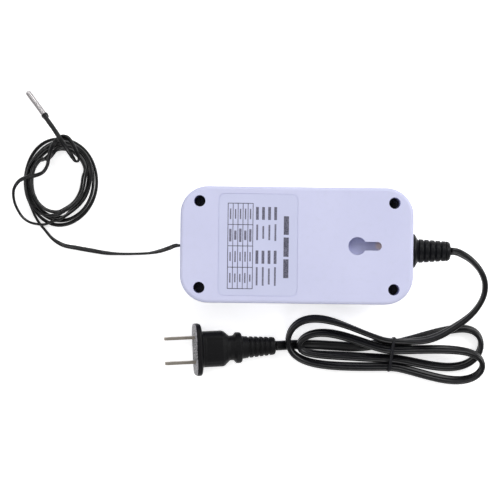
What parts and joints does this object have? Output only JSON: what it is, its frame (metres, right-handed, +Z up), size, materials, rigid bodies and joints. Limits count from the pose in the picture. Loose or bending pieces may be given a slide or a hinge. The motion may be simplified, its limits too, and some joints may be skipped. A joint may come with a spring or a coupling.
{
  "type": "plug in temperature controller",
  "caption": "Plug in temperature controller: boxed switch with output socket, display and keys, hanging keyhole, bundled mains lead with flat plug, coiled sensor cable with metal probe.",
  "frame": {"origin": "on the surface that the housing lies on, face down, under the middle of the housing", "axes": "+Z up through the back plate, +X along the housing towards the mains lead and the keyhole, +Y across the housing"},
  "size_m": [0.2413, 0.15, 0.031],
  "materials": {
    "case": "fine moulded texture, satin",
    "label_paper": "satin label with a printed ruled table",
    "overlay": "printed film, satin",
    "window": "clear dark red",
    "button": "satin",
    "black_plastic": "satin moulded",
    "black_screw": "black oxide",
    "board": "glass fibre with solder mask",
    "steel": "zinc plated",
    "segment": "red diffuser",
    "led": "red diffused",
    "relay_blue": "gloss",
    "capacitor_yellow": "gloss",
    "can_sleeve": "shrink sleeve",
    "varistor_blue": "epoxy",
    "fuse_glass": "clear",
    "header_white": "natural nylon",
    "brass": "stamped",
    "wire_brown": "PVC insulation",
    "wire_blue": "PVC insulation",
    "cord": "satin PVC",
    "relief": "satin PVC",
    "plug_moulding": "satin PVC",
    "plug_bridge": "hard plastic",
    "blade": "nickel plated brass",
    "probe_steel": "drawn stainless",
    "sleeve": "shrink sleeve",
    "epoxy": "potting",
    "tie_white": "nylon",
    "tie_black": "plastic coated wire"
  },
  "bodies": {
    "housing": {"rear_cover": "case", "front_cover": "case", "case_screws": "black_screw", "rear_label": "label_paper", "front_overlay": "overlay", "display_window": "window", "tact_switches": "black_plastic", "control_board": "board", "board_screws": "steel", "display_module": "black_plastic", "display_segments": "segment", "indicator_leds": "led", "microcontroller": "black_plastic", "relay": "relay_blue", "relay_pins": "steel", "supply_capacitor": "capacitor_yellow", "electrolytic_capacitors": "can_sleeve", "bridge_rectifier": "black_plastic", "voltage_regulator": "black_plastic", "varistor": "varistor_blue", "fuse_tube": "fuse_glass", "fuse_caps": "steel", "sensor_header": "header_white", "sensor_connector": "header_white", "socket_insert": "black_plastic", "socket_contact_live": "brass", "socket_contact_neutral": "brass", "contact_retainer": "black_plastic", "retainer_screws": "steel", "socket_screws": "steel", "mains_wire_live": "wire_brown", "mains_wire_neutral": "wire_blue", "output_wire_live": "wire_brown", "output_wire_neutral": "wire_blue", "sensor_inner_lead": "cord", "sensor_cable_tie": "tie_white", "strain_relief": "relief", "mains_lead": "cord", "mains_hank": "cord", "cord_tie": "tie_black", "mains_tail": "cord", "plug_body": "plug_moulding", "plug_core": "plug_bridge", "plug_blades": "blade", "sensor_lead": "cord", "sensor_coil": "cord", "sensor_tail": "cord", "probe_sleeve": "sleeve", "probe_tube": "probe_steel", "thermistor_bead": "epoxy", "probe_potting": "epoxy"},
    "key_set": {"button_set": "button", "plunger_set": "black_plastic"},
    "key_up": {"button_up": "button", "plunger_up": "black_plastic"},
    "key_down": {"button_down": "button", "plunger_down": "black_plastic"}
  },
  "joints": [
    {"name": "press_set", "type": "slide", "parent": "housing", "child": "key_set", "axis": [0, 0, 1], "range_m": [0, 0.0005], "stiffness_N_per_m": 400, "springref_m": -0.0005},
    {"name": "press_up", "type": "slide", "parent": "housing", "child": "key_up", "axis": [0, 0, 1], "range_m": [0, 0.0005], "stiffness_N_per_m": 400, "springref_m": -0.0005},
    {"name": "press_down", "type": "slide", "parent": "housing", "child": "key_down", "axis": [0, 0, 1], "range_m": [0, 0.0005], "stiffness_N_per_m": 400, "springref_m": -0.0005}
  ]
}
